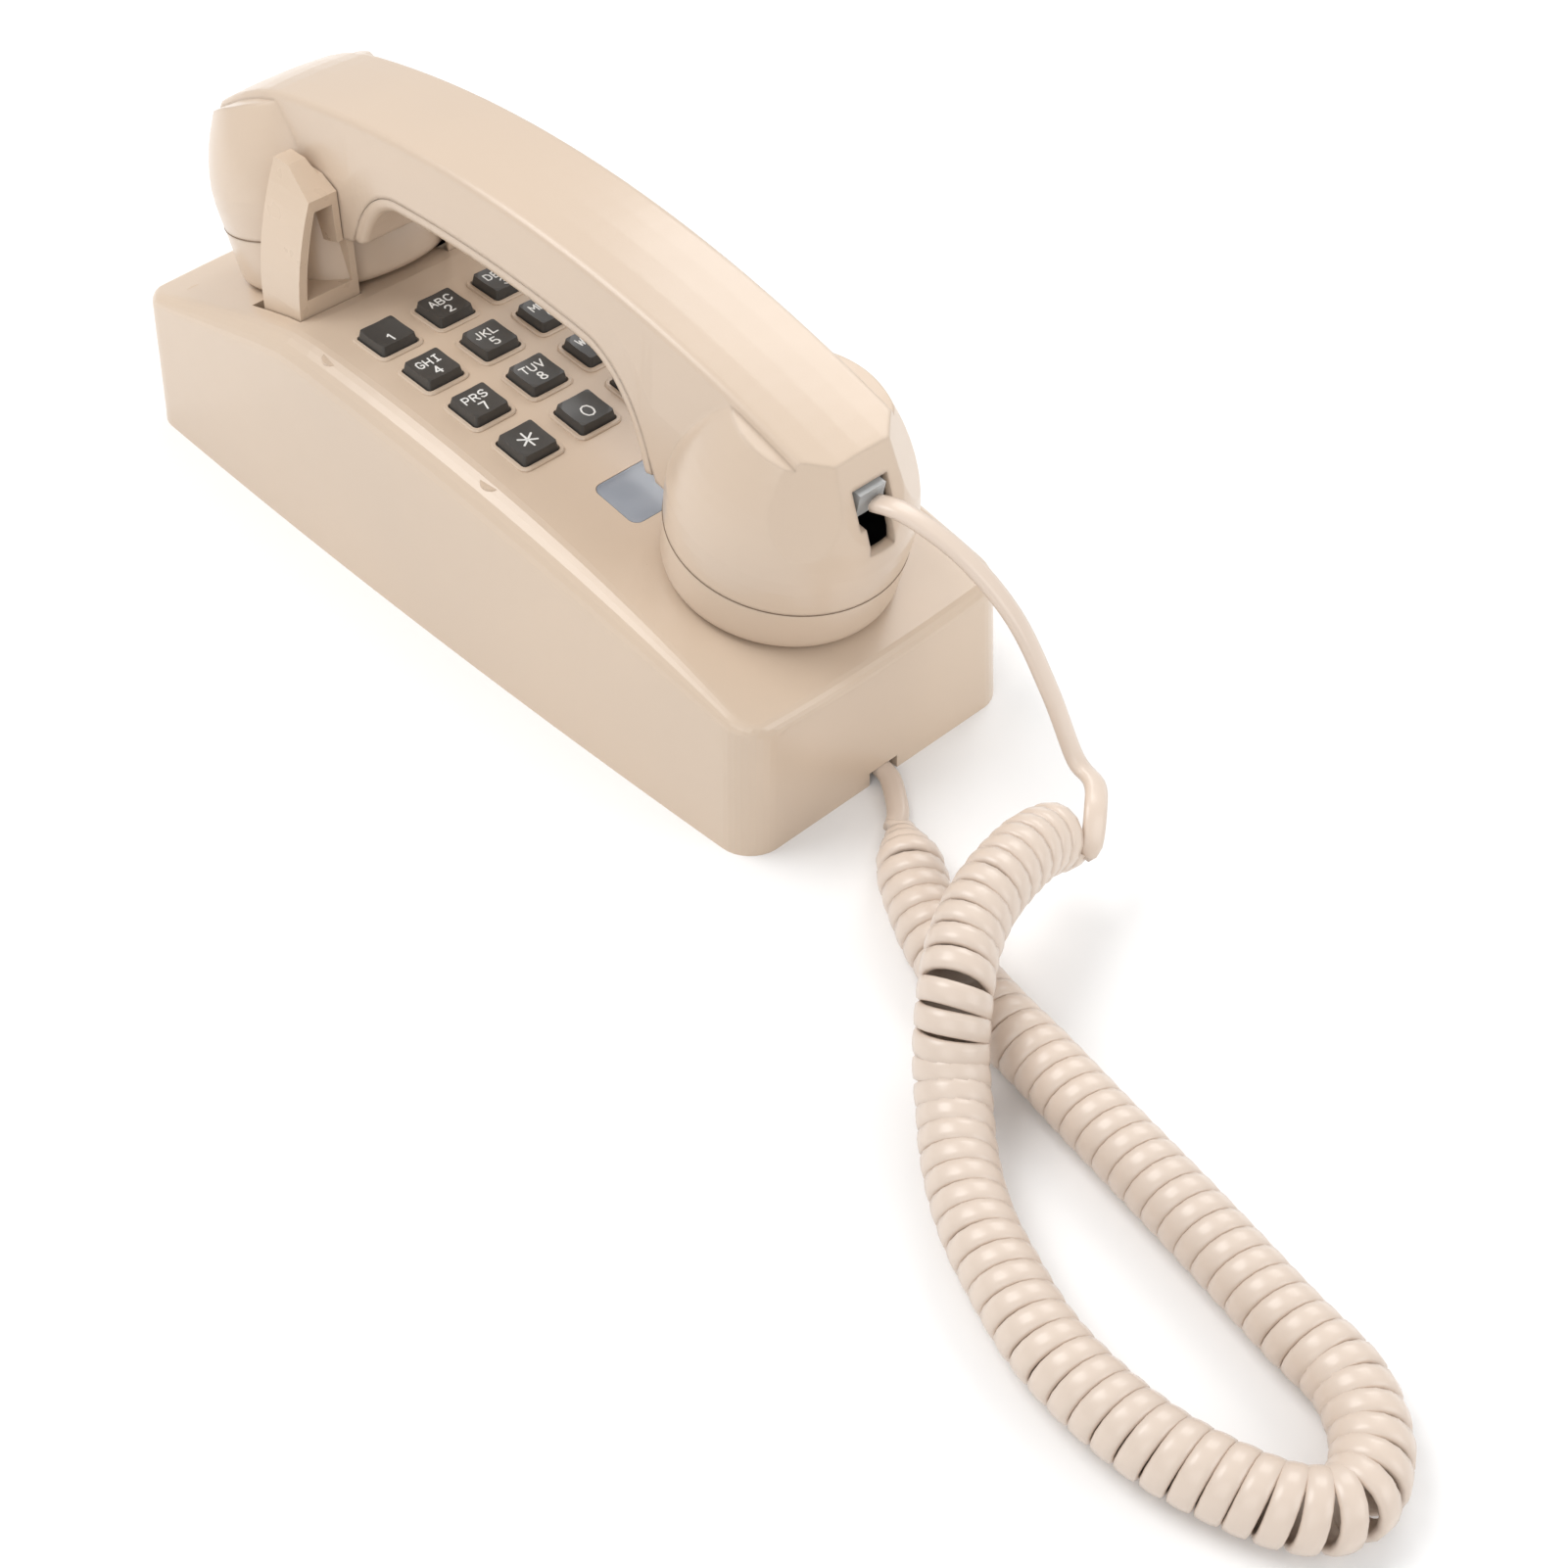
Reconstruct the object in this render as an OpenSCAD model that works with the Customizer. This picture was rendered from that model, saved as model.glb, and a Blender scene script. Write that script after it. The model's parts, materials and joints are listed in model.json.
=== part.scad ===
// Corded wall telephone lying on its back, with its handset on the hook.
// X is the width, +Y points to the hook end, the cord leaves at -Y, and Z is up from the back.

/* [Housing] */
// Length of the housing
body_l = 236; // [200:1:280]
// Width of the housing at the back, at its middle
body_w = 90; // [80:1:110]
// Height of the face at its crest
crest_z = 57; // [50:1:68]
// Place of the crest, towards the hook end
crest_y = 45; // [38:1:52]
// Height at the hook end
hook_end_h = 38; // [30:1:44]
// Height at the cord end
cord_end_h = 36; // [30:1:42]
// Softness of the crest: a larger value gives a rounder bend
crest_soft = 12; // [6:1:20]
// How far each long side draws in towards its ends
side_bow = 2.5; // [0:0.5:4]
// How far each end bulges at its middle
end_bow = 1.2; // [0:0.1:1.5]
// Lean of the side walls, in degrees
draft = 2.5; // [1:0.5:4]
// Corner radius in plan
corner_r = 8; // [5:0.5:12]
// Edge radius along the middle of the sides
edge_r = 8; // [4:0.5:10]
// Edge radius at the ends
edge_end_r = 2.4; // [1.5:0.1:4]
// Wall of the housing
wall = 2.6; // [2:0.1:3.4]

/* [Keypad] */
// Key spacing, both ways
key_pitch = 17.5; // [16:0.25:20]
// How far the keypad sits to one side of the middle, the same side as the cord loop
pad_x = -4.8; // [-5:0.2:3]
// Width of a key's top
key_top = 9.6; // [8:0.1:11]
// Width of a key at the face
key_base = 10.6; // [9:0.1:12]
// Height of a key's top above the face
key_rise = 2.8; // [2:0.1:4]
// Travel of a key
key_travel = 1.5; // [1:0.1:2]
// Place of the first row along the housing
key_row_y = 31; // [29:0.5:33]
// Clearance round a key
key_gap = 0.35; // [0.25:0.05:0.6]
// Height of the rim round each key
rim_rise = 0.5; // [0.3:0.1:1]
// Width of the rim round each key
rim_w = 1.1; // [0.8:0.1:1.5]

/* [Number card] */
// Width of the card window
card_w = 39; // [30:0.5:44]
// Length of the card window
card_l = 15; // [12:0.5:18]
// Distance from the last row to the window's centre
card_drop = 27; // [25:0.5:30]
// Depth of the window in the face
card_depth = 1.2; // [0.8:0.1:1.4]

/* [Hook] */
// Outer width over both prongs
fork_w = 64; // [60:0.5:68]
// Width of a prong at its foot
prong_w = 18; // [16:0.5:20]
// Depth of a prong at its foot
prong_d = 16; // [14:0.5:18]
// Side of the prongs that faces the keys
prong_y = 53.5; // [52:0.5:55]
// Swing of the hook, in degrees
hook_swing = 6; // [4:0.5:7]
// Height of the hook's pivot
pivot_z = 17; // [15:0.5:20]
// Pivot pin diameter
pin_d = 4; // [3:0.5:5]
// Clearance of a running shaft, on radius
shaft_gap = 0.06; // [0.03:0.01:0.09]

/* [Handset] */
// Largest radius of both cups
cup_r = 28.4; // [26:0.2:31]
// Distance from the middle to the ear cup, along the face
ear_y = 78.5; // [76:0.5:80]
// Distance from the middle to the mouth cup, along the face
mouth_y = 83; // [78:0.5:86]
// Height of the ear cap
ear_cap_h = 14.5; // [12:0.5:16]
// Height of the mouth cap
mouth_cap_h = 12.5; // [11:0.5:15]
// Height of the handle's back above the housing's back
back_z = 108.8; // [106:0.1:111]
// Radius of the handle's long curve
back_r = 320; // [280:10:380]
// Width across the handle's ridges
ridge_w = 29; // [25:0.5:32]
// Thickness of the handle from its ridges to its seam
grip_t = 14.8; // [13:0.1:17]
// Thickness of the underside strip
strip_t = 3.5; // [3:0.1:4.5]
// Wall of the handset
hs_wall = 2.4; // [2:0.1:3]

/* [Back] */
// Thickness of the steel back plate
plate_t = 1.5; // [1.2:0.1:2]
// Gap round the back plate
plate_gap = 0.5; // [0.3:0.1:1]
// Spacing of the two wall studs
stud_pitch = 82.55; // [70:0.05:90]
// Diameter of a keyhole's entry
keyhole_d = 10; // [8:0.5:12]
// Width of a keyhole's slot
keyhole_slot = 5; // [4:0.5:6]
// Screw shank diameter
screw_d = 3; // [2.5:0.1:3.5]

/* [Cord] */
// Width of the flat cord
cord_w = 5.2; // [4:0.1:6]
// Thickness of the flat cord
cord_t = 2.6; // [2:0.1:3]
// Outer diameter of the curly part
coil_d = 16; // [13:0.5:18]
// Width of a handset plug
plug_w = 7.7; // [7:0.1:8]
// Height of a handset plug
plug_h = 6.4; // [6:0.1:7]
// Length of a handset plug
plug_l = 12; // [10:0.5:13]

/* [Hidden] */
$fn = 48;

plastic = [0.87, 0.80, 0.71];
dark_key = [0.32, 0.31, 0.29];
steel = [0.68, 0.69, 0.71];
board_green = [0.13, 0.36, 0.22];
clear_blue = [0.75, 0.80, 0.85, 0.5];
smoke = [0.35, 0.36, 0.38, 0.6];
cord_tone = [0.87, 0.80, 0.75];
eps = 0.02;

// Bodies that move stay this far from what they pass
free_gap = 0.3;
half_l = body_l / 2;
half_w = body_w / 2;
lean = tan(draft);

// ---- Face profile ----
face_k = (crest_z - cord_end_h) / pow(crest_y + half_l, 2);
hook_run = half_l - crest_y;
hook_m = (crest_z - hook_end_h) / (sqrt(pow(hook_run, 2) + pow(crest_soft, 2)) - crest_soft);

function face_z(y) = y < crest_y
    ? crest_z - face_k * pow(crest_y - y, 2)
    : crest_z - hook_m * (sqrt(pow(y - crest_y, 2) + pow(crest_soft, 2)) - crest_soft);
function face_angle(y) = atan(face_z(y + 0.5) - face_z(y - 0.5));

// ---- Housing form ----
// Places along Y, as shares of the half length, with more of them round the corners
corner_share = corner_r / half_l;
corner_steps = 8;
middle_steps = 26;
function corner_station(i) = 1 - corner_share + corner_share * sin(90 * i / corner_steps);
stations = concat(
    [for (i = [corner_steps:-1:1]) -corner_station(i)],
    [for (i = [0:middle_steps]) (1 - corner_share) * (2 * i / middle_steps - 1)],
    [for (i = [1:corner_steps]) corner_station(i)]);

function corner_cut(s, r, l) = let (e = max(0, abs(s) * l - (l - r))) r - sqrt(max(0, r * r - e * e));
function side_x(s, inset) = let (l = half_l - inset, r = corner_r - inset * 0.8)
    half_w - inset - side_bow * s * s - corner_cut(s, r, l);
function long_edge_r(s, inset) =
    max(0.6, edge_end_r + (edge_r - edge_end_r) * (1 - pow(abs(s), 2.5)) - inset);
function top_at(s, inset) =
    face_z(s * half_l) - inset - corner_cut(s, max(0.8, edge_end_r - inset * 0.6), half_l - inset);
// One point of the form, moved in Y for the bulge of the end and the lean of the wall
function form_point(s, x, z, inset) = let (
    l = half_l - inset - lean * z,
    bulge = end_bow * pow(abs(s), 6) * (1 - pow(x / (half_w - side_bow - corner_r), 2)))
    [x, s * (l + bulge), z];
edge_steps = 7;
face_steps = 6;
function form_ring(s, inset, floor_z) = let (
    w = side_x(s, inset),
    h = top_at(s, inset),
    r = min(long_edge_r(s, inset), w * 0.9),
    wt = w - lean * h,
    left = concat(
        [form_point(s, -(w - lean * floor_z), floor_z, inset)],
        [for (i = [0:edge_steps]) let (a = 90 * i / edge_steps)
            form_point(s, -(wt - r) - r * cos(a), h - r + r * sin(a), inset)],
        [for (i = [1:face_steps]) form_point(s, -(wt - r) * (1 - i / face_steps), h, inset)]),
    n = len(left))
    concat(left, [for (i = [n - 2:-1:0]) [-left[i][0], left[i][1], left[i][2]]]);

// Solid through a list of rings with equal counts, closed at both ends and along its foot
module ring_solid(rings) {
    n = len(rings[0]);
    m = len(rings);
    half = floor(n / 2);
    points = [for (ring = rings) for (p = ring) p];
    sides = [for (i = [0:m - 2]) for (j = [0:n - 1])
        let (a = i * n + j, b = i * n + (j + 1) % n, c = (i + 1) * n + (j + 1) % n, d = (i + 1) * n + j)
        each [[a, c, b], [a, d, c]]];
    start = [for (j = [0:half - 1]) let (a = j, b = j + 1, c = n - 2 - j, d = n - 1 - j)
        each (b == c ? [[a, b, d]] : [[a, b, d], [b, c, d]])];
    last = (m - 1) * n;
    finish = [for (f = start) [last + f[0], last + f[2], last + f[1]]];
    polyhedron(points = points, faces = concat(sides, start, finish), convexity = 6);
}

module housing_form(inset, floor_z = 0) {
    ring_solid([for (s = stations) form_ring(s, inset, floor_z)]);
}

// ---- Places on the face ----
module on_face(x, y) {
    translate([x, y, face_z(y)])
        rotate([face_angle(y), 0, 0])
            children();
}
key_xs = [pad_x - key_pitch, pad_x, pad_x + key_pitch];
key_ys = [for (i = [0:3]) key_row_y - i * key_pitch];
pad_y = (key_ys[0] + key_ys[3]) / 2;
card_y = key_ys[3] - card_drop;
ear_angle = face_angle(ear_y);
mouth_angle = face_angle(-mouth_y);

module soft_block(w, l, h, r, n = 20) {
    hull()
        for (x = [-1, 1], y = [-1, 1])
            translate([x * (w / 2 - r), y * (l / 2 - r), 0])
                cylinder(r = r, h = h, $fn = n);
}

// ---- Housing ----
post_x = 32;
post_y = 100;
post_d = 8;
plate_l = 2 * (half_l - wall - plate_gap);
plate_w = 2 * (half_w - wall - side_bow - plate_gap);
prong_in = fork_w / 2 - prong_w;
swing_room = (crest_z - pivot_z) * sin(hook_swing) + 1;
wheel_y = -50;
wheel_r = 9;
wheel_x = half_w - 0.5 - wheel_r;
wheel_z = 10;
wheel_h = 4;
notch_w = 9;
notch_h = 3.7;
ear_post_x = 30.9;
ear_post_z = -8;

module key_holes() {
    for (x = key_xs, y = key_ys)
        on_face(x, y)
            translate([0, 0, -wall - 3])
                soft_block(key_base + 2 * key_gap, key_base + 2 * key_gap, wall + 8, 1.1, 12);
}

module key_rims() {
    rim = key_base + 2 * (key_gap + rim_w);
    for (x = key_xs, y = key_ys)
        on_face(x, y)
            translate([0, 0, -1])
                hull() {
                    soft_block(rim, rim, 0.7 + rim_rise, 2.2, 12);
                    soft_block(rim - 0.6, rim - 0.6, 1 + rim_rise, 1.9, 12);
                }
}

module housing() {
    color(plastic)
        difference() {
            union() {
                difference() {
                    housing_form(0);
                    housing_form(wall, -1);
                }
                key_rims();
                // Posts for the back plate and for the key frame
                for (x = [-1, 1], y = [-1, 1])
                    translate([x * post_x, y * post_y, plate_t])
                        cylinder(d = post_d, h = face_z(y * post_y) - plate_t - 1.5, $fn = 24);
                for (x = [-1, 1], y = [-1, 1])
                    on_face(pad_x, pad_y)
                        translate([x * ear_post_x, y * 30, ear_post_z])
                            cylinder(d = 6, h = -ear_post_z - 1.2, $fn = 24);
            }
            key_holes();
            // Pilot holes in the posts
            for (x = [-1, 1], y = [-1, 1]) {
                translate([x * post_x, y * post_y, -1])
                    cylinder(d = screw_d, h = 16, $fn = 24);
                on_face(pad_x, pad_y)
                    translate([x * ear_post_x, y * 30, ear_post_z - 1])
                        cylinder(d = 2, h = 6, $fn = 24);
            }
            // Seat of the number card and its window
            on_face(0, card_y)
                translate([0, 0, -card_depth - 0.6])
                    soft_block(card_w + 0.3, card_l + 0.3, 6, 2.5, 24);
            // Slots the hook swings in
            for (x = [-1, 1])
                translate([x * (prong_in + prong_w / 2), prong_y - 0.4, 30])
                    linear_extrude(40)
                        translate([-prong_w / 2 - 0.4, 0])
                            square([prong_w + 0.8, prong_d + swing_room + 0.4]);
            // Notch the cord leaves by
            translate([-notch_w / 2, -half_l - 4, -1])
                cube([notch_w, 10, notch_h + 1]);
            // Slot for the volume wheel
            translate([half_w - 8, wheel_y - 7.6, wheel_z - 0.4])
                cube([12, 15.2, wheel_h + 0.8]);
        }
}

// ---- Back plate ----
jack_y = 10;
board_z = 8;
board_t = 1.6;
spacer_x = 30;
spacer_lo = -34;
spacer_hi = 36;
board_lo = -38;
board_hi = 40;
base_jack_y = -113;

module keyhole() {
    cylinder(d = keyhole_d, h = 20);
    translate([-keyhole_slot / 2, 0, 0])
        cube([keyhole_slot, keyhole_d + 1, 20]);
    translate([0, keyhole_d + 1, 0])
        cylinder(d = keyhole_slot, h = 20);
}

module back_plate() {
    color(steel)
        difference() {
            union() {
                soft_block(plate_w, plate_l, plate_t, 7, 48);
                for (x = [-1, 1], y = [spacer_lo, spacer_hi])
                    translate([x * spacer_x, y, plate_t - 0.5])
                        cylinder(d = 6, h = board_z - plate_t + 0.5);
            }
            for (x = [-1, 1], y = [spacer_lo, spacer_hi])
                translate([x * spacer_x, y, 2])
                    cylinder(d = screw_d, h = 20);
            for (x = [-1, 1], y = [-1, 1])
                translate([x * post_x, y * post_y, 0]) {
                    translate([0, 0, -1])
                        cylinder(d = screw_d, h = 5);
                    translate([0, 0, -eps])
                        cylinder(d1 = 5.6, d2 = screw_d, h = 1.2);
                }
            for (y = [-1, 1])
                translate([0, y * stud_pitch / 2, -5])
                    keyhole();
            translate([-7.6, jack_y - 7.6, -1])
                cube([15.2, 15.2, 5]);
            translate([-5.5, -half_l - 1, -1])
                cube([11, half_l - 99 + 4, 5]);
        }
}

// Countersunk screw, head down at z = 0
module sunk_screw(l) {
    cylinder(d1 = 5.5, d2 = screw_d, h = 1.2);
    cylinder(d = screw_d, h = l);
}

module plate_screws() {
    color(steel)
        for (x = [-1, 1], y = [-1, 1])
            translate([x * post_x, y * post_y, 0])
                difference() {
                    sunk_screw(13);
                    translate([-0.4, -3, -1])
                        cube([0.8, 6, 1.6]);
                }
}

// ---- Number card ----
module number_card() {
    color([0.95, 0.94, 0.90])
        on_face(0, card_y)
            translate([0, 0, -card_depth - 0.6])
                soft_block(card_w - 0.4, card_l - 0.4, 0.4, 2.2, 24);
}

module card_window() {
    color(clear_blue)
        on_face(0, card_y)
            translate([0, 0, -card_depth - 0.2])
                soft_block(card_w, card_l, card_depth, 2.4, 24);
}

// ---- Keypad ----
flange_h = 1;
key_foot = -wall - free_gap - flange_h;
// Gap that the curve of the face leaves at the outer rows
pad_sag = face_k * pow(1.5 * key_pitch, 2);
mat_top = key_foot - key_travel - pad_sag - 0.35;
mat_t = 1;
pad_l = 3 * key_pitch + 18;
pad_w = 2 * key_pitch + 18;
pad_board_t = 1.6;
pip_h = 0.8;

module key(x, y) {
    color(dark_key)
        on_face(x, y)
            difference() {
                union() {
                    hull() {
                        translate([0, 0, -1])
                            soft_block(key_base, key_base, 1.2, 0.8, 16);
                        soft_block(key_top, key_top, key_rise, 0.6, 16);
                    }
                    translate([0, 0, key_foot + 0.5])
                        soft_block(key_base, key_base, -key_foot - 0.6, 0.8, 16);
                    translate([0, 0, key_foot])
                        soft_block(key_base + 2, key_base + 2, flange_h, 0.8, 16);
                }
                // Dished top
                translate([0, 0, key_rise - 0.45 + 34])
                    sphere(r = 34, $fn = 90);
            }
}

module key_1() { key(key_xs[0], key_ys[0]); }
module key_2() { key(key_xs[1], key_ys[0]); }
module key_3() { key(key_xs[2], key_ys[0]); }
module key_4() { key(key_xs[0], key_ys[1]); }
module key_5() { key(key_xs[1], key_ys[1]); }
module key_6() { key(key_xs[2], key_ys[1]); }
module key_7() { key(key_xs[0], key_ys[2]); }
module key_8() { key(key_xs[1], key_ys[2]); }
module key_9() { key(key_xs[2], key_ys[2]); }
module key_star() { key(key_xs[0], key_ys[3]); }
module key_0() { key(key_xs[1], key_ys[3]); }
module key_hash() { key(key_xs[2], key_ys[3]); }

module key_mat() {
    color([0.60, 0.60, 0.58])
        on_face(pad_x, pad_y)
            translate([0, 0, mat_top - mat_t]) {
                translate([-pad_w / 2, -pad_l / 2, 0])
                    cube([pad_w, pad_l, mat_t]);
                for (i = [-1:1], j = [0:3])
                    translate([i * key_pitch, (1.5 - j) * key_pitch, -pip_h])
                        cylinder(d = 6, h = pip_h + 0.2, $fn = 20);
            }
}

pad_board_z = mat_top - mat_t - pip_h - pad_board_t;

module keypad_board() {
    color(board_green)
        on_face(pad_x, pad_y)
            difference() {
                translate([-pad_w / 2, -pad_l / 2, pad_board_z])
                    cube([pad_w, pad_l, pad_board_t]);
                for (x = [-1, 1], y = [-1, 1])
                    translate([x * (pad_w / 2 - 3), y * (pad_l / 2 - 3), pad_board_z - 1])
                        cylinder(d = 2, h = 4);
            }
}

module keypad_frame() {
    lip = 2.5;
    color([0.45, 0.44, 0.42])
        on_face(pad_x, pad_y)
            difference() {
                union() {
                    translate([-pad_w / 2 - lip, -pad_l / 2 - lip, pad_board_z])
                        cube([pad_w + 2 * lip, pad_l + 2 * lip, -4.2 - pad_board_z]);
                    for (x = [-1, 1], y = [-1, 1])
                        translate([x * ear_post_x, y * 30, ear_post_z - 3])
                            cylinder(d = 8, h = 3);
                }
                translate([-pad_w / 2 - 0.05, -pad_l / 2 - 0.05, pad_board_z - 1])
                    cube([pad_w + 0.1, pad_l + 0.1, 20]);
                for (x = [-1, 1], y = [-1, 1])
                    translate([x * ear_post_x, y * 30, ear_post_z - 5]) {
                        cylinder(d = 2, h = 10);
                        translate([0, 0, 5])
                            cylinder(d = 6.3, h = 12);
                    }
            }
}

module board_screws() {
    color(steel) {
        for (x = [-1, 1], y = [-1, 1])
            on_face(pad_x, pad_y)
                translate([x * ear_post_x, y * 30, ear_post_z - 3]) {
                    translate([0, 0, -1.6])
                        cylinder(d = 4, h = 1.6, $fn = 24);
                    cylinder(d = 2, h = 7, $fn = 24);
                }
        for (x = [-1, 1], y = [spacer_lo, spacer_hi])
            translate([x * spacer_x, y, board_z + board_t]) {
                cylinder(d = 5.4, h = 2);
                translate([0, 0, -6])
                    cylinder(d = screw_d, h = 6);
            }
    }
}

// ---- Handset form ----
// Both cups stand square on the face, a running gap above it
back_mid = 8;
droop = 0.007;
droop_y = 75;
crown = 0.5;
grip_taper = 0.13;
ridge_r = 2;
cup_top = 44;
cup_ease = 0.038;
ear_seam = ear_cap_h + free_gap;
mouth_seam = mouth_cap_h + free_gap;
function cup_radius(h) = h < 8
    ? cup_r - 0.4 * pow((8 - h) / 8, 2)
    : cup_r - cup_ease * pow(h - 8, 1.7);
function back_at(y) = back_z - pow(y - back_mid, 2) / (2 * back_r)
    - (y > droop_y ? droop * pow(y - droop_y, 2) : 0);
// Height of the plane each cap closes on
function ear_plane(y) = face_z(ear_y) + ear_seam / cos(ear_angle) + (y - ear_y) * tan(ear_angle);
function mouth_plane(y) =
    face_z(-mouth_y) + mouth_seam / cos(mouth_angle) + (y + mouth_y) * tan(mouth_angle);
// The underside is level with the back, then falls in a quarter round into each cup
ear_fall = [30, 52];
mouth_fall = [-38, -60];
fall_depth = 34;
function fall(y, a, b) = let (t = min(1, max(0, (y - a) / (b - a)))) fall_depth * (1 - sqrt(1 - t * t));
function seam_at(y) = let (
    free = back_at(y) - grip_t - fall(y, ear_fall[0], ear_fall[1]) - fall(y, mouth_fall[0], mouth_fall[1]))
    y > 0 ? max(free, ear_plane(y)) : max(free, mouth_plane(y));

module at_ear() {
    on_face(0, ear_y)
        translate([0, 0, ear_seam])
            children();
}
module at_mouth() {
    on_face(0, -mouth_y)
        translate([0, 0, mouth_seam])
            children();
}

module cup_solid(inset) {
    low = inset > 0 ? -1 : 0;
    steps = inset > 0 ? 7 : 13;
    hs = [for (i = [0:steps]) cup_top * i / steps];
    rotate_extrude($fn = inset > 0 ? 36 : 64)
        polygon(concat(
            [[0, low], [cup_radius(0) - inset, low]],
            [for (h = hs) [cup_radius(h) - inset, h + (h == 0 ? eps : 0)]],
            [[0, cup_top]]));
}

grip_from = -111;
grip_to = 111.5;
grip_ys = concat(
    [for (y = [grip_from:5:-63]) y],
    [for (y = [-60:2:-38]) y],
    [for (y = [-34:5:26]) y],
    [for (y = [30:2:54]) y],
    [for (y = [59:5:grip_to - 2]) y],
    [grip_to]);
// The handle's foot rises inside each cup, so that it never shows below the back
function grip_low(y) = let (left = min(y - grip_from, grip_to - y))
    max(seam_at(y), back_at(y) - 4 - 3 * left);
function grip_half(y, z, inset) =
    ridge_w / 2 - inset + grip_taper * max(0, back_at(y) - inset - z > grip_t ? grip_t : back_at(y) - inset - z);
function grip_ring(y, inset) = let (
    t = back_at(y) - inset,
    low = grip_low(y) - (inset > 0 ? 1.5 : 0),
    r = ridge_r,
    half = ridge_w / 2 - inset,
    left = concat(
        [[-grip_half(y, low, inset), y, low]],
        [[-grip_half(y, (low + t) / 2, inset), y, (low + t) / 2]],
        [for (a = [-8:(inset > 0 ? 49 : 24.5):90]) [-(half - r) - r * cos(a), y, t - r + r * sin(a)]],
        [[-half * 0.45, y, t + crown * 0.75]],
        [[0, y, t + crown]]),
    n = len(left))
    concat(left, [for (i = [n - 2:-1:0]) [-left[i][0], y, left[i][2]]]);

module grip_solid(inset) {
    ring_solid([for (y = grip_ys) grip_ring(y, inset)]);
}

// Everything under the long curve of the back
module under_back(inset) {
    ys = [for (y = [-130:8:126]) y];
    rotate([90, 0, 90])
        linear_extrude(2 * cup_r + 10, center = true)
            polygon(concat([[-130, 30]], [for (y = ys) [y, back_at(y) - inset - 2]], [[126, 30]]));
}

// Flats that end the back over each cup
facet_far = 15.6;
facet_side = 16.8;
module end_flats(inset) {
    for (f = [[0, facet_far, 30], [42, facet_side, 27], [-42, facet_side, 27]])
        rotate([0, 0, f[0]])
            translate([0, -(f[1] - inset), 36])
                rotate([-f[2], 0, 0])
                    translate([-30, -30, -30])
                        cube([60, 30, 60]);
}

module handset_form(inset) {
    difference() {
        union() {
            intersection() {
                union() {
                    at_ear()
                        cup_solid(inset);
                    at_mouth()
                        cup_solid(inset);
                }
                under_back(inset);
            }
            grip_solid(inset);
        }
        at_mouth()
            end_flats(inset);
        at_ear()
            rotate([0, 0, 180])
                end_flats(inset);
    }
}

// Room the hook leaves round the handset
module handset_room(gap) {
    at_ear()
        translate([0, 0, -ear_seam - 6])
            cylinder(r = cup_r + gap, h = ear_seam + 14, $fn = 72);
    at_ear()
        cup_solid(-gap);
    intersection() {
        grip_solid(-gap);
        translate([-30, 30, 40])
            cube([60, 60, 100]);
    }
}

hs_jack_z = 25;
hs_jack_w = 10.4;
hs_jack_h = 8.4;
// Middle of the handset's socket, in the mouth cup's own frame
socket_at = -facet_far - (36 - hs_jack_z) * tan(30);

module handset_back() {
    color(plastic)
        difference() {
            union() {
                difference() {
                    handset_form(0);
                    handset_form(hs_wall);
                }
                // Necks the caps screw on to
                at_ear()
                    neck();
                at_mouth()
                    neck();
            }
            // Socket opening, with the lower step below it
            at_mouth() {
                translate([-hs_jack_w / 2, -40, hs_jack_z - hs_jack_h / 2])
                    cube([hs_jack_w, 30, hs_jack_h]);
                translate([-3.6, -40, hs_jack_z - hs_jack_h / 2 - 6])
                    cube([7.2, 30, 7]);
            }
        }
}

neck_r = 24.4;
module neck() {
    rotate_extrude($fn = 96)
        polygon([[22.6, -5], [neck_r, -5], [neck_r, 0], [cup_r - 1, 0], [cup_r - 1, 2.4], [22.6, 2.4]]);
}

strip_ys = [for (y = [-59:1.5:49.4]) y];
function seam_slope(y) = (seam_at(y + 0.2) - seam_at(y - 0.2)) / 0.4;
function strip_ring(y) = let (
    m = seam_slope(y),
    k = sqrt(1 + m * m),
    ny = m / k,
    nz = -1 / k,
    z = seam_at(y),
    w = grip_half(y, z, 0))
    [for (q = [[-w, 0.15], [-w, 2.1], [-w + 0.4, 3], [-w + 1.3, 3.5], [0, 3.5], [w - 1.3, 3.5], [w - 0.4, 3],
        [w, 2.1], [w, 0.15]]) [q[0], y + ny * q[1] * strip_t / 3.5, z + nz * q[1] * strip_t / 3.5]];

module handset_strip() {
    color(plastic)
        difference() {
            ring_solid([for (y = strip_ys) [for (i = [8:-1:0]) strip_ring(y)[i]]]);
            at_ear()
                translate([0, 0, -30])
                    cylinder(r = 60, h = 30);
            at_mouth()
                translate([0, 0, -30])
                    cylinder(r = 60, h = 30);
            at_ear()
                cylinder(r = cup_radius(0) + 0.02, h = 1, $fn = 96);
            at_mouth()
                cylinder(r = cup_radius(0) + 0.02, h = 1, $fn = 96);
            translate([-6.7, -70, 40])
                cube([13.4, 12, 60]);
        }
}

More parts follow.
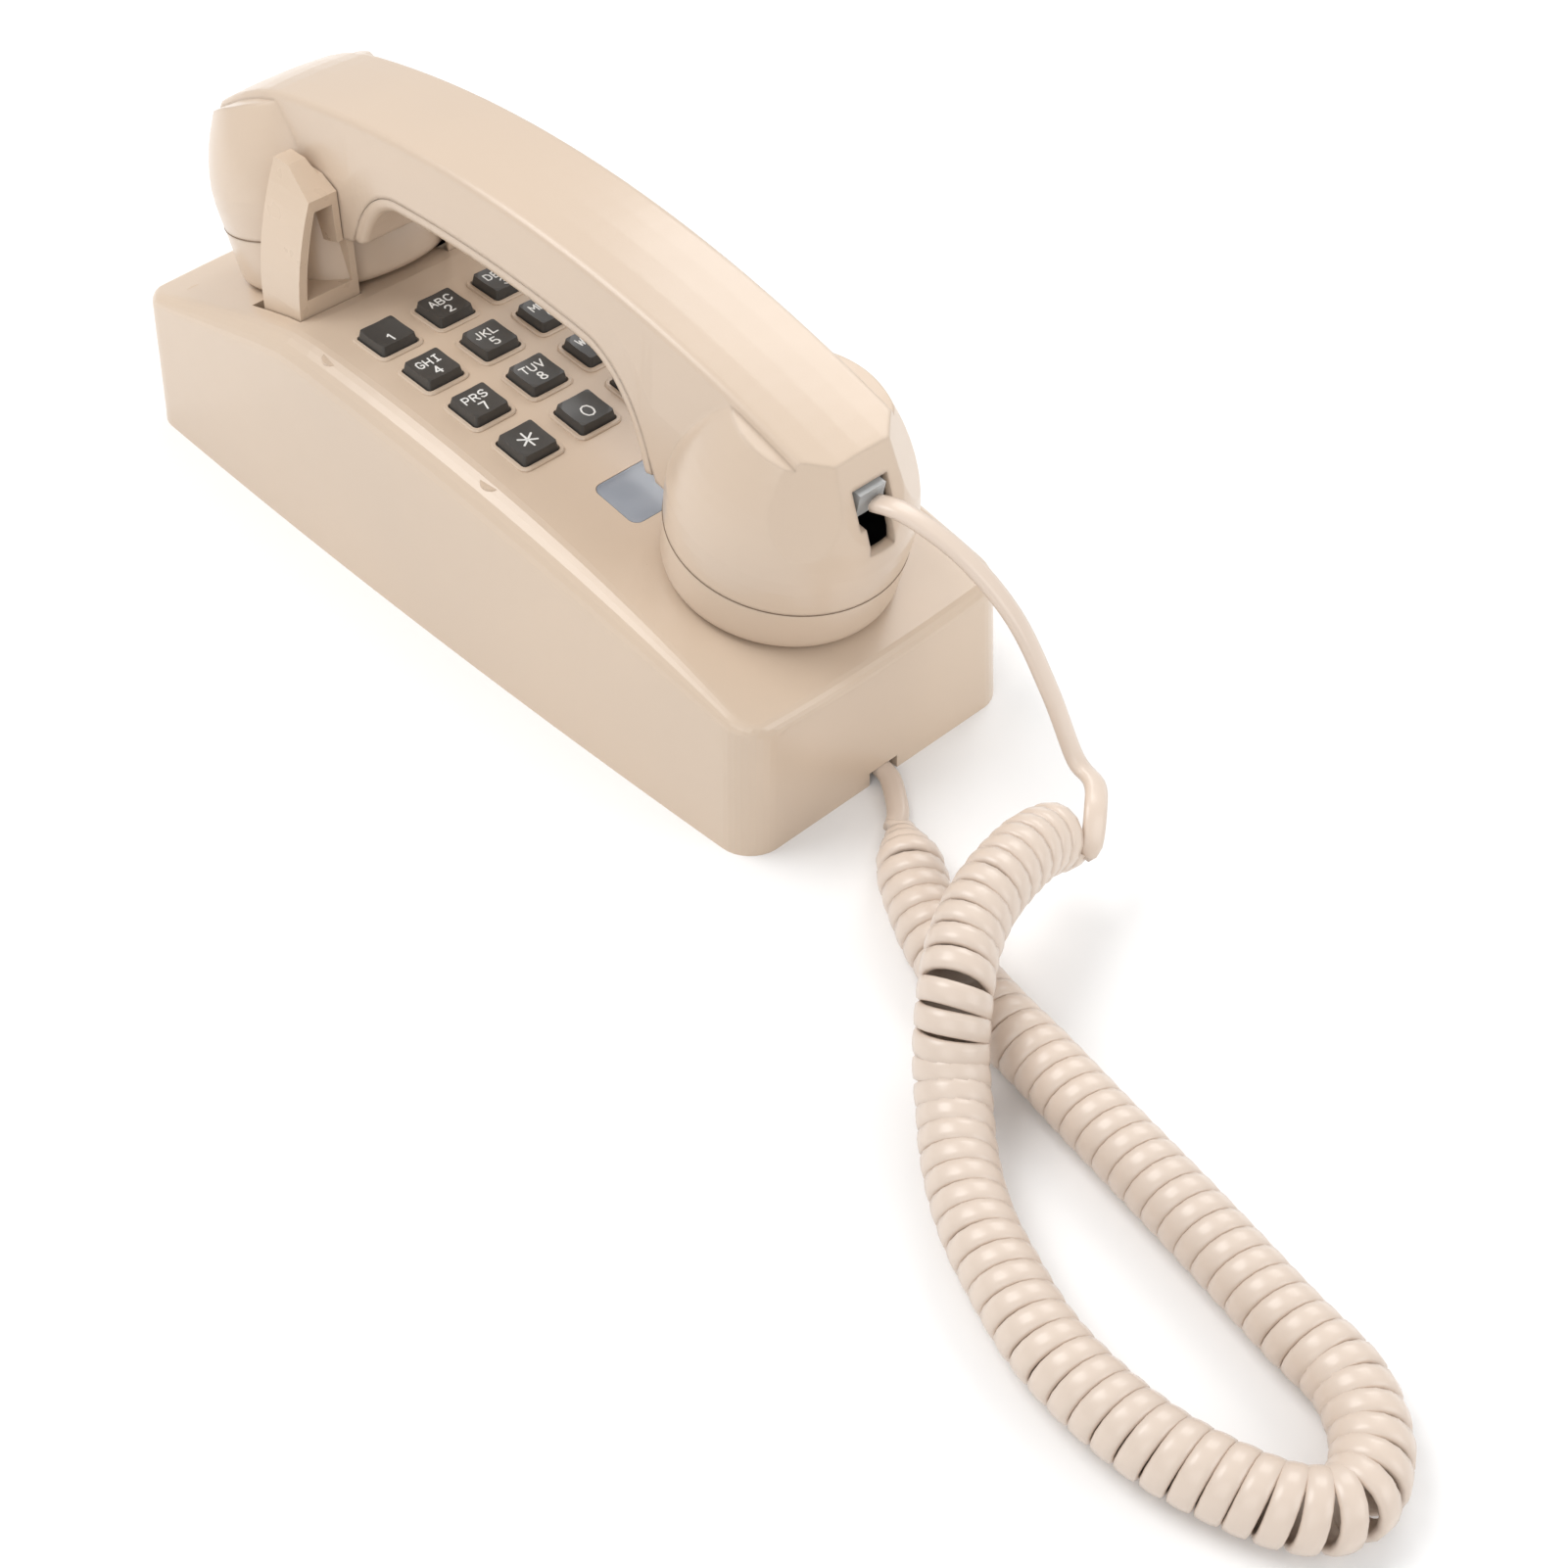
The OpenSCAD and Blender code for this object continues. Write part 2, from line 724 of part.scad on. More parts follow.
// Cap with its holes; the rim stands at z = 0 and the cap hangs below it
module cap(h, rings) {
    color(plastic)
        difference() {
            rotate_extrude($fn = 96)
                polygon([[0, -h], [cup_r - 3.2, -h], [cup_r - 2, -h + 0.3], [cup_r - 1.2, -h + 1.2],
                    [cup_r - 0.9, -h + 2.4], [cup_r - 0.4, 0], [neck_r + 0.1, 0], [neck_r + 0.1, -h + 4],
                    [neck_r - 1, -h + 2.4], [0, -h + 2.4]]);
            translate([0, 0, -h - 1])
                cylinder(d = 2, h = 5, $fn = 16);
            for (i = [1:rings], j = [0:6 * i - 1])
                rotate([0, 0, 60 * j / i])
                    translate([4.2 * i, 0, -h - 1])
                        cylinder(d = 2, h = 5, $fn = 16);
        }
}
module ear_cap() {
    at_ear()
        cap(ear_cap_h, 2);
}
module mouth_cap() {
    at_mouth()
        cap(mouth_cap_h, 3);
}

module receiver() {
    color([0.25, 0.25, 0.26])
        at_ear()
            translate([0, 0, -ear_cap_h + 2.4]) {
                cylinder(r = 22, h = 5.5);
                translate([0, 0, 5.4])
                    cylinder(r = 15, h = 6);
                translate([0, 0, 11.3])
                    cylinder(r = 9, h = 5);
            }
}
module transmitter() {
    color(steel)
        at_mouth()
            translate([0, 0, -mouth_cap_h + 2.4]) {
                cylinder(r = 22, h = 3.5);
                translate([0, 0, 3.4])
                    cylinder(r = 17, h = 6);
            }
}
module contact_cup() {
    color(plastic)
        at_mouth()
            difference() {
                translate([0, 0, -5])
                    cylinder(r = 22.5, h = 9);
                translate([0, 0, -6])
                    cylinder(r = 20.5, h = 8);
            }
}
module handset_weight() {
    color([0.45, 0.45, 0.47])
        translate([-9, back_mid - 24, back_z - grip_t + 0.05])
            cube([18, 48, 7.5]);
}
module handset_jack() {
    color([0.85, 0.85, 0.83])
        at_mouth()
            difference() {
                translate([-6.4, socket_at + 5.6, hs_jack_z - 5.2])
                    cube([12.8, 15, 10.4]);
                translate([-plug_w / 2 - 0.1, socket_at - 1, hs_jack_z - plug_h / 2 - 0.1])
                    cube([plug_w + 0.2, plug_l + 3, plug_h + 0.2]);
            }
}
module handset_screws() {
    color(steel)
        for (x = [-11.5, 11.5])
            at_mouth()
                translate([x, 0, 4]) {
                    cylinder(d = 3, h = 8);
                    cylinder(d = 5.5, h = 2);
                }
}

// ---- Hook ----
pivot_y = 60;
shield_r = 29;
shield_t = 3;
arm_in = 27;
arm_out = 31;
prong_top = 86;
prong_bow = 7;
function prong_out(z) = fork_w / 2 - prong_bow * pow(max(0, z - 54) / 32, 1.9);
prong_zs = [for (z = [54:4:86]) z];

module prong_shape(grow_in, grow_out) {
    polygon(concat(
        [[prong_in + grow_in, 40], [fork_w / 2 - grow_out, 40]],
        [for (z = prong_zs) [prong_out(z) - grow_out, z]],
        [[prong_out(prong_top) - grow_out - 2.2, prong_top + 5], [prong_in + grow_in, prong_top + 5]]));
}

module fork_prong() {
    difference() {
        translate([0, prong_y + prong_d, 0])
            rotate([90, 0, 0])
                linear_extrude(prong_d)
                    prong_shape(0, 0);
        // Top falls towards the keys
        translate([0, prong_y, prong_top])
            rotate([26, 0, 0])
                translate([0, -10, 0])
                    cube([60, 60, 30]);
        // Hollow that faces the keys
        difference() {
            translate([0, prong_y + 11, 0])
                rotate([90, 0, 0])
                    linear_extrude(20)
                        intersection() {
                            prong_shape(1.8, 2.4);
                            translate([0, 60.5])
                                square([60, prong_top - 63.5]);
                        }
            handset_room(2.2);
        }
        handset_room(0.4);
        // Lets the ear cup's shoulder past as the handset is lifted
        translate([0, prong_y - 1, prong_top + 2.5])
            cube([prong_in + 3.8, prong_d + 2, 12]);
    }
}

module arc_bar(r, t, w, a0, a1) {
    translate([-w / 2, pivot_y, pivot_z])
        rotate([90, 0, 90])
            linear_extrude(w)
                polygon(concat(
                    [for (i = [0:20]) let (a = a0 + (a1 - a0) * i / 20) r * [cos(a), sin(a)]],
                    [for (i = [20:-1:0]) let (a = a0 + (a1 - a0) * i / 20) (r - t) * [cos(a), sin(a)]]));
}

module hook_fork() {
    foot_z = pivot_z + shield_r - 1.2;
    color(plastic)
        difference() {
            union() {
                for (m = [0, 1])
                    mirror([m, 0, 0])
                        difference() {
                            fork_prong();
                            translate([0, 0, 0])
                                cube([60, 120, foot_z - 3]);
                        }
                // Curved shield that closes the slots as the hook swings
                arc_bar(shield_r, shield_t, fork_w + 2, 50, 112);
                for (m = [0, 1])
                    mirror([m, 0, 0])
                        hull() {
                            translate([arm_in, pivot_y, pivot_z])
                                rotate([0, 90, 0])
                                    cylinder(r = 5.5, h = arm_out - arm_in, $fn = 32);
                            translate([arm_in, pivot_y - 6, pivot_z + shield_r - 4])
                                cube([arm_out - arm_in, 16, 2]);
                        }
                // Lug that works the switch
                translate([-4, pivot_y + 15.5, 38])
                    rotate([0, 90, 0])
                        cylinder(r = 2.2, h = 8, $fn = 24);
            }
            translate([-50, pivot_y, pivot_z])
                rotate([0, 90, 0])
                    cylinder(r = pin_d / 2 + shaft_gap, h = 100, $fn = 48);
        }
}

bracket_x = 33.5;
module hook_bracket() {
    color(steel)
        difference() {
            union() {
                translate([-bracket_x - 2, pivot_y - 9, plate_t])
                    cube([2 * bracket_x + 4, 18, 1.5]);
                for (m = [0, 1])
                    mirror([m, 0, 0])
                        translate([bracket_x, 0, 0]) {
                            translate([0, pivot_y - 7, plate_t])
                                cube([2, 14, pivot_z - plate_t]);
                            translate([0, pivot_y, pivot_z])
                                rotate([0, 90, 0])
                                    cylinder(r = 7, h = 2);
                        }
            }
            translate([-50, pivot_y, pivot_z])
                rotate([0, 90, 0])
                    cylinder(d = pin_d, h = 100);
        }
}
module hook_pin() {
    color(steel)
        translate([-bracket_x - 2.5, pivot_y, pivot_z])
            rotate([0, 90, 0])
                cylinder(d = pin_d, h = 2 * bracket_x + 5);
}
module hook_spring() {
    color([0.55, 0.56, 0.58])
        for (x = [-20, 14]) {
            for (i = [0:5])
                translate([x + 1.05 * i, pivot_y, pivot_z])
                    rotate([0, 90, 0])
                        rotate_extrude($fn = 32)
                            translate([pin_d / 2 + 0.75, 0])
                                circle(r = 0.6, $fn = 12);
            translate([x, pivot_y - pin_d / 2 - 0.75, plate_t + 1.5])
                cylinder(r = 0.55, h = pivot_z - plate_t - 1.5, $fn = 16);
            translate([x + 5.25, pivot_y - pin_d / 2 - 0.75, pivot_z])
                cylinder(r = 0.55, h = shield_r - shield_t - 1.4, $fn = 16);
        }
}

lug_y = pivot_y + 15.5;
plunger_top = 38 - 2.2 - 0.35;
module switch_block() {
    color([0.2, 0.2, 0.22])
        difference() {
            translate([-9, lug_y - 5, plate_t])
                cube([18, 13, 22]);
            translate([0, lug_y, plate_t + 6])
                cylinder(r = 2.5 + shaft_gap, h = 30);
        }
}
module switch_plunger() {
    color([0.9, 0.9, 0.88])
        translate([0, lug_y, plate_t + 9])
            cylinder(r = 2.5, h = plunger_top - plate_t - 9);
}

// ---- Electronics ----
module main_board() {
    color(board_green)
        difference() {
            translate([-34, board_lo, board_z])
                cube([68, board_hi - board_lo, board_t]);
            for (x = [-1, 1], y = [spacer_lo, spacer_hi])
                translate([x * spacer_x, y, board_z - 1])
                    cylinder(d = screw_d, h = 5);
        }
}
module line_transformer() {
    color([0.3, 0.3, 0.32]) {
        translate([-26, 4, board_z + board_t])
            cube([18, 24, 16]);
        translate([-24, 1, board_z + board_t])
            cube([14, 30, 9]);
    }
}
module capacitors() {
    color([0.75, 0.35, 0.15]) {
        translate([16, 20, board_z + board_t])
            cylinder(r = 6, h = 20);
        translate([16, 4, board_z + board_t])
            cylinder(r = 4, h = 14);
        translate([4, -24, board_z + board_t])
            cylinder(r = 4, h = 14);
        translate([-18, -20, board_z + board_t])
            cylinder(r = 5, h = 16);
    }
}
module line_jack() {
    color([0.88, 0.87, 0.84])
        difference() {
            translate([-7.2, jack_y - 7.2, 0.2])
                cube([14.4, 14.4, board_z - 0.2]);
            translate([-4.9, jack_y - 5.5, -1])
                cube([9.8, 9, 7.6]);
        }
}
module base_jack() {
    color([0.88, 0.87, 0.84])
        difference() {
            translate([-7, base_jack_y + 3, plate_t])
                cube([14, 16, 10]);
            translate([-plug_w / 2 - 0.1, base_jack_y - 1, 0])
                cube([plug_w + 0.2, plug_l + 2, plug_h + 1.6]);
            translate([-6, base_jack_y - 1, 0])
                cube([12, plug_l + 2, plate_t + 0.6]);
        }
}

// ---- Ringer ----
gong_x = 20;
gong_y = -80;
gong_r = 16;
gong_z = 14;
gong_h = 14;
clap_y = -70;
clap_z = 20;
clap_l = 22;
module ringer_frame() {
    color(steel)
        difference() {
            union() {
                translate([-34, -96, plate_t])
                    cube([68, 46, 1.4]);
                for (x = [-1, 1])
                    translate([x * gong_x, gong_y, plate_t])
                        cylinder(r = 3.5, h = gong_z + gong_h - 1.4 - plate_t);
                for (x = [-1, 1])
                    translate([x * 17, -56, plate_t])
                        translate([-1, -8, 0])
                            cube([2, 14, 16]);
            }
            for (x = [-1, 1])
                translate([x * gong_x, gong_y, 12])
                    cylinder(d = screw_d, h = 30);
            translate([-50, -57, 10.5])
                rotate([0, 90, 0])
                    cylinder(r = 3, h = 100);
            translate([0, clap_y, 0])
                cylinder(r = 2, h = 10);
            // Room for the jack and for the wheel's bracket
            translate([-7.4, -97, 0])
                cube([14.8, 3.4, 20]);
            translate([28.1, -58.4, 0])
                cube([10, 10, 6]);
            for (x = [-1, 1])
                translate([x * post_x, -post_y, 0])
                    cylinder(d = post_d + 1, h = 20);
        }
}
module ringer_coil() {
    color([0.62, 0.32, 0.18])
        translate([-16, -57, 10.5])
            rotate([0, 90, 0]) {
                cylinder(r = 6, h = 32);
                cylinder(r = 7, h = 1.5);
                translate([0, 0, 30.5])
                    cylinder(r = 7, h = 1.5);
                translate([0, 0, -2.5])
                    cylinder(r = 3, h = 37);
            }
}
module gong() {
    translate([0, gong_y, gong_z])
        rotate_extrude($fn = 64)
            polygon([[1.7, gong_h - 1.4], [9, gong_h - 1.4], [12.6, gong_h - 3.4], [14, gong_h - 6.4],
                [gong_r - 1.2, 0], [gong_r, 0], [15.2, gong_h - 6], [13.6, gong_h - 2.4], [9.4, gong_h],
                [1.7, gong_h]]);
}
module left_gong() {
    color([0.75, 0.66, 0.42])
        translate([-gong_x, 0, 0])
            gong();
}
module right_gong() {
    color([0.75, 0.66, 0.42])
        translate([gong_x, 0, 0])
            gong();
}
module gong_screws() {
    color(steel)
        for (x = [-1, 1])
            translate([x * gong_x, gong_y, gong_z + gong_h]) {
                cylinder(d = 6, h = 2);
                translate([0, 0, -12])
                    cylinder(d = screw_d, h = 12.1);
            }
}
module clapper_pin() {
    color(steel)
        translate([0, clap_y, plate_t]) {
            cylinder(r = 2, h = 4);
            cylinder(r = 1.9, h = clap_z - 2.3 - plate_t);
            cylinder(r = 1.2, h = clap_z + 4 - plate_t);
        }
}
module clapper() {
    color([0.7, 0.6, 0.4])
        difference() {
            union() {
                translate([0, clap_y, clap_z - 2])
                    cylinder(r = 2.6, h = 4.5);
                translate([-0.8, clap_y - clap_l, clap_z - 0.8])
                    cube([1.6, clap_l, 1.6]);
                translate([0, clap_y - clap_l, clap_z])
                    sphere(r = 2.4, $fn = 32);
                translate([-5, clap_y + 2, clap_z - 1])
                    cube([10, 18, 1.6]);
            }
            translate([0, clap_y, clap_z - 5])
                cylinder(r = 1.2 + shaft_gap, h = 12);
        }
}
module wheel_bracket() {
    color(steel)
        translate([wheel_x, wheel_y, plate_t])
            difference() {
                union() {
                    translate([-7, -8, 0])
                        cube([8.5, 16, 1.2]);
                    cylinder(r = 3, h = wheel_z - 0.3 - plate_t);
                    cylinder(r = 2, h = wheel_z + wheel_h + 0.4 - plate_t);
                }
            }
}
module volume_wheel() {
    color([0.8, 0.72, 0.62])
        translate([wheel_x, wheel_y, wheel_z])
            difference() {
                cylinder(r = wheel_r, h = wheel_h, $fn = 72);
                translate([0, 0, -1])
                    cylinder(r = 2 + shaft_gap, h = wheel_h + 2);
                for (i = [0:23])
                    rotate([0, 0, 15 * i])
                        translate([wheel_r + 0.25, 0, -1])
                            cylinder(r = 0.6, h = wheel_h + 2, $fn = 12);
            }
}

// ---- Cord ----
hs_exit = [0, -112.2, 76.9];
base_exit = [0, -113, 2.4];
upper_route = [[0, -112.2, 76.9], [2, -120, 77], [7, -132, 70], [11, -144, 58], [13, -154, 42],
    [14, -162, 27], [11, -168, 19], [4, -171, 18], [-1, -171, 20]];
coil_route = [[-1, -171, 20], [-9, -172, 24], [-17, -174, 27], [-28, -177, 29], [-37, -180, 29],
    [-45, -184, 28], [-52, -189, 26], [-57, -193, 21], [-61, -197, 15], [-66, -203, 11],
    [-72, -210, 9], [-79, -220, 8.2], [-85, -232, 8.2], [-92, -253, 8.2], [-93, -277, 8.2],
    [-88, -297, 8.2], [-82, -307, 8.2], [-75, -310, 8.2], [-67, -307, 8.2], [-61, -301, 8.2],
    [-57, -293, 8.2], [-55, -279, 8.2], [-50, -252, 8.2], [-45, -222, 8.2], [-42, -205, 8.2],
    [-40, -191, 8.2], [-37, -177, 8.2], [-33, -166, 8.2], [-27, -155, 8.2], [-23, -149, 8.2]];
lower_route = [[-23, -149, 8.2], [-20, -145, 5], [-15, -139, 2.6], [-10, -133, 2.2], [-5, -127, 2.2],
    [-1, -121, 2.3], [0, -116, 2.4], [0, -113, 2.4]];

function unit(v) = v / norm(v);
// Smooth run through a list of points, with steps between each pair
function bend(p, i, t) = let (
    a = p[max(0, i - 1)], b = p[i], c = p[i + 1], d = p[min(len(p) - 1, i + 2)])
    0.5 * (2 * b + (c - a) * t + (2 * a - 5 * b + 4 * c - d) * t * t + (3 * b - a - 3 * c + d) * t * t * t);
function run(p, steps) = concat(
    [for (i = [0:len(p) - 2]) for (k = [0:steps - 1]) bend(p, i, k / steps)], [p[len(p) - 1]]);

module tube(p, w, h, sides) {
    n = len(p);
    dirs = [for (i = [0:n - 1]) unit(p[min(n - 1, i + 1)] - p[max(0, i - 1)])];
    points = [for (i = [0:n - 1]) let (
        right = unit(cross(dirs[i], [0, 0, 1])),
        up = cross(right, dirs[i]))
        for (j = [0:sides - 1]) let (a = 360 * (j + 0.5) / sides)
            p[i] + right * cos(a) * w / 2 + up * sin(a) * h / 2];
    faces = concat(
        [[for (j = [sides - 1:-1:0]) j]],
        [for (i = [0:n - 2]) for (j = [0:sides - 1]) let (k = (j + 1) % sides)
            each [[i * sides + j, i * sides + k, (i + 1) * sides + k],
                [i * sides + j, (i + 1) * sides + k, (i + 1) * sides + j]]],
        [[for (j = [0:sides - 1]) (n - 1) * sides + j]]);
    polyhedron(points = points, faces = faces, convexity = 8);
}

module cord_tail_upper() {
    color(cord_tone)
        tube(run(upper_route, 2), cord_w, cord_t, 8);
}
module cord_coil() {
    color(cord_tone)
        tube(run(coil_route, 2), coil_d, coil_d, 12);
}
module cord_tail_lower() {
    color(cord_tone)
        tube(run(lower_route, 2), cord_w, cord_t, 8);
}
module base_plug() {
    color([0.85, 0.87, 0.88, 0.7])
        translate([-plug_w / 2, base_exit[1], 0.8])
            cube([plug_w, plug_l, plug_h]);
}
module handset_plug() {
    color([0.85, 0.87, 0.88, 0.7])
        at_mouth()
            translate([-plug_w / 2, socket_at + 1, hs_jack_z - plug_h / 2])
                cube([plug_w, plug_l, plug_h]);
}

housing();
back_plate();
plate_screws();
number_card();
card_window();
keypad_frame();
key_mat();
keypad_board();
board_screws();
key_1();
key_2();
key_3();
key_4();
key_5();
key_6();
key_7();
key_8();
key_9();
key_star();
key_0();
key_hash();
hook_fork();
hook_bracket();
hook_pin();
hook_spring();
switch_block();
switch_plunger();
main_board();
line_transformer();
capacitors();
base_jack();
line_jack();
ringer_frame();
ringer_coil();
left_gong();
right_gong();
gong_screws();
clapper();
clapper_pin();
volume_wheel();
wheel_bracket();
handset_back();
handset_strip();
ear_cap();
mouth_cap();
receiver();
transmitter();
contact_cup();
handset_weight();
handset_jack();
handset_screws();
handset_plug();
base_plug();
cord_tail_upper();
cord_coil();
cord_tail_lower();
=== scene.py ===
import bpy, bmesh, json, math
import numpy as np
from mathutils import Vector, Matrix


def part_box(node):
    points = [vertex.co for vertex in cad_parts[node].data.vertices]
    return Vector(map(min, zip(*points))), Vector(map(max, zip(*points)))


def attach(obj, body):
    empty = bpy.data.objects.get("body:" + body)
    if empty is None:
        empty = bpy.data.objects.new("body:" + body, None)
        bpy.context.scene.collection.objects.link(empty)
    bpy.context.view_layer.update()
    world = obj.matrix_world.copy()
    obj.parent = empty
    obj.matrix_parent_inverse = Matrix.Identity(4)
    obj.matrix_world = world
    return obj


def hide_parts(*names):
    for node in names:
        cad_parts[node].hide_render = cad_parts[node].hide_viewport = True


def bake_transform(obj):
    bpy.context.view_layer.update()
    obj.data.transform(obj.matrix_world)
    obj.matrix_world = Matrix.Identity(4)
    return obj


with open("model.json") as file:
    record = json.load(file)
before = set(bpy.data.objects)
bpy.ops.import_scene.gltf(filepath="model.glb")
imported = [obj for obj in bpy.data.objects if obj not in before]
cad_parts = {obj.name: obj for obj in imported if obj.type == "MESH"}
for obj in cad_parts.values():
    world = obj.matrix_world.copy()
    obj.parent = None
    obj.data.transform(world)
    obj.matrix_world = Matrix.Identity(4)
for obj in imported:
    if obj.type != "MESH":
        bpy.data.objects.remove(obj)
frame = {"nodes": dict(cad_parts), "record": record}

MM = 0.001
scene = bpy.context.scene
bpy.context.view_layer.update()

# ------------------------------------------------------------------ camera
AZ, EL, ROLL, DIST, FOCAL = -43.8, 44.4, 0.2, 0.592, 58.8
AIM = Vector((-0.0185, -0.104, 0.0))
a, e = math.radians(AZ), math.radians(EL)
back = Vector((math.sin(a) * math.cos(e), -math.cos(a) * math.cos(e), math.sin(e)))
right = (-back).cross(Vector((0, 0, 1))).normalized()
up = right.cross(-back)
r = math.radians(ROLL)
rr, uu = right * math.cos(r) + up * math.sin(r), -right * math.sin(r) + up * math.cos(r)
cam_data = bpy.data.cameras.new("camera")
cam = bpy.data.objects.new("camera", cam_data)
scene.collection.objects.link(cam)
rot = Matrix((rr, uu, back)).transposed().to_4x4()
cam.matrix_world = Matrix.Translation(AIM + back * DIST) @ rot
cam_data.lens, cam_data.sensor_width = FOCAL, 36.0
cam_data.clip_start, cam_data.clip_end = 0.05, 20
scene.camera = cam


# ------------------------------------------------------------------ mesh helpers
def add_mesh(name, verts, faces, mat=None, smooth=True, angle=None):
    me = bpy.data.meshes.new(name)
    me.from_pydata([tuple(v) for v in verts], [], faces)
    me.validate()
    ob = bpy.data.objects.new(name, me)
    scene.collection.objects.link(ob)
    if smooth:
        me.polygons.foreach_set("use_smooth", [True] * len(me.polygons))
    if angle is not None:
        sharp_by_angle(me, angle)
    if mat:
        me.materials.append(mat)
    return ob


def sharp_by_angle(me, degrees):
    """Marks edges that bend more than this as sharp, so that smooth shading stops there."""
    bm = bmesh.new()
    bm.from_mesh(me)
    lim = math.radians(degrees)
    flags = [not (len(ed.link_faces) == 2 and ed.calc_face_angle(0) < lim) for ed in bm.edges]
    bm.free()
    att = me.attributes.get("sharp_edge") or me.attributes.new("sharp_edge", "BOOLEAN", "EDGE")
    att.data.foreach_set("value", flags)


def catmull(points, steps):
    p = [np.array(q, float) for q in points]
    out = []
    for i in range(len(p) - 1):
        q0, q1, q2, q3 = p[max(0, i - 1)], p[i], p[i + 1], p[min(len(p) - 1, i + 2)]
        for k in range(steps):
            t = k / steps
            out.append(0.5 * (2 * q1 + (q2 - q0) * t + (2 * q0 - 5 * q1 + 4 * q2 - q3) * t * t
                              + (3 * q1 - q0 - 3 * q2 + q3) * t ** 3))
    out.append(p[-1])
    return np.array(out)


def even(path, step):
    """Points at an even spacing along a path."""
    d = np.r_[0, np.cumsum(np.linalg.norm(np.diff(path, axis=0), axis=1))]
    n = max(2, int(round(d[-1] / step)) + 1)
    s = np.linspace(0, d[-1], n)
    return np.stack([np.interp(s, d, path[:, k]) for k in range(3)], axis=1)


def frames(path, first_up=(0, 0, 1)):
    """Tangent and a side direction carried along the path without twist."""
    t = np.gradient(path, axis=0)
    t /= np.linalg.norm(t, axis=1)[:, None]
    n = np.zeros_like(t)
    u = np.array(first_up, float)
    u -= t[0] * (u @ t[0])
    n[0] = u / np.linalg.norm(u)
    for i in range(1, len(t)):
        u = n[i - 1] - t[i] * (n[i - 1] @ t[i])
        n[i] = u / np.linalg.norm(u)
    return t, n


def sweep(name, path, ups, width, thick, sides, mat):
    """A tube of rounded flat section; ups is the direction of the thin side at each point."""
    t = np.gradient(path, axis=0)
    t /= np.linalg.norm(t, axis=1)[:, None]
    verts = []
    for p, tt, u in zip(path, t, ups):
        u = u - tt * (u @ tt)
        u /= np.linalg.norm(u)
        w = np.cross(tt, u)
        for j in range(sides):
            q = 2 * math.pi * (j + 0.5) / sides
            c, s = math.cos(q), math.sin(q)
            k = (abs(c) ** 4 + abs(s) ** 4) ** -0.25
            verts.append(p + w * (c * k * width / 2) + u * (s * k * thick / 2))
    n = len(path)
    faces = [[i * sides + j, i * sides + (j + 1) % sides, (i + 1) * sides + (j + 1) % sides,
              (i + 1) * sides + j] for i in range(n - 1) for j in range(sides)]
    faces.append(list(range(sides))[::-1])
    faces.append([(n - 1) * sides + j for j in range(sides)])
    ob = add_mesh(name, verts, faces, mat)
    bm = bmesh.new()
    bm.from_mesh(ob.data)
    bmesh.ops.recalc_face_normals(bm, faces=bm.faces)
    bm.to_mesh(ob.data)
    bm.free()
    return ob


# ------------------------------------------------------------------ materials
def nodes_of(mat):
    mat.use_nodes = True
    nt = mat.node_tree
    return nt, nt.nodes, nt.links, nt.nodes["Principled BSDF"]


def plastic(name, color, rough=0.32, coat=0.25, vary=0.05, grain=0.012, grain_scale=2600.0, spec=0.5,
            ease=0.0):
    """Moulded plastic: slow tone changes, a fine grain and an uneven sheen."""
    mat = bpy.data.materials.new(name)
    nt, nd, ln, bs = nodes_of(mat)
    co = nd.new("ShaderNodeTexCoord")
    n1 = nd.new("ShaderNodeTexNoise")
    n1.inputs["Scale"].default_value = 9.0
    n1.inputs["Detail"].default_value = 3.0
    n2 = nd.new("ShaderNodeTexNoise")
    n2.inputs["Scale"].default_value = 160.0
    n2.inputs["Detail"].default_value = 4.0
    n3 = nd.new("ShaderNodeTexNoise")
    n3.inputs["Scale"].default_value = grain_scale
    n3.inputs["Detail"].default_value = 2.0
    for n in (n1, n2, n3):
        ln.new(co.outputs["Object"], n.inputs["Vector"])
    ramp = nd.new("ShaderNodeValToRGB")
    ramp.color_ramp.elements[0].position, ramp.color_ramp.elements[1].position = 0.3, 0.7
    dark = [c * (1 - vary) for c in color]
    warm = [min(1, color[0] * (1 + vary * 0.6)), min(1, color[1] * (1 + vary * 0.4)), color[2]]
    ramp.color_ramp.elements[0].color = (*dark, 1)
    ramp.color_ramp.elements[1].color = (*warm, 1)
    ln.new(n1.outputs["Fac"], ramp.inputs["Fac"])
    ln.new(ramp.outputs["Color"], bs.inputs["Base Color"])
    rr_ = nd.new("ShaderNodeMapRange")
    rr_.inputs["To Min"].default_value, rr_.inputs["To Max"].default_value = rough - 0.05, rough + 0.07
    ln.new(n2.outputs["Fac"], rr_.inputs["Value"])
    ln.new(rr_.outputs["Result"], bs.inputs["Roughness"])
    bump = nd.new("ShaderNodeBump")
    bump.inputs["Strength"].default_value = 0.25
    bump.inputs["Distance"].default_value = grain * MM
    ln.new(n3.outputs["Fac"], bump.inputs["Height"])
    if ease:
        bevel = nd.new("ShaderNodeBevel")
        bevel.samples = 6
        bevel.inputs["Radius"].default_value = ease * MM
        ln.new(bevel.outputs["Normal"], bump.inputs["Normal"])
    ln.new(bump.outputs["Normal"], bs.inputs["Normal"])
    bs.inputs["Coat Weight"].default_value = coat
    bs.inputs["Coat Roughness"].default_value = 0.18
    bs.inputs["Specular IOR Level"].default_value = spec
    return mat


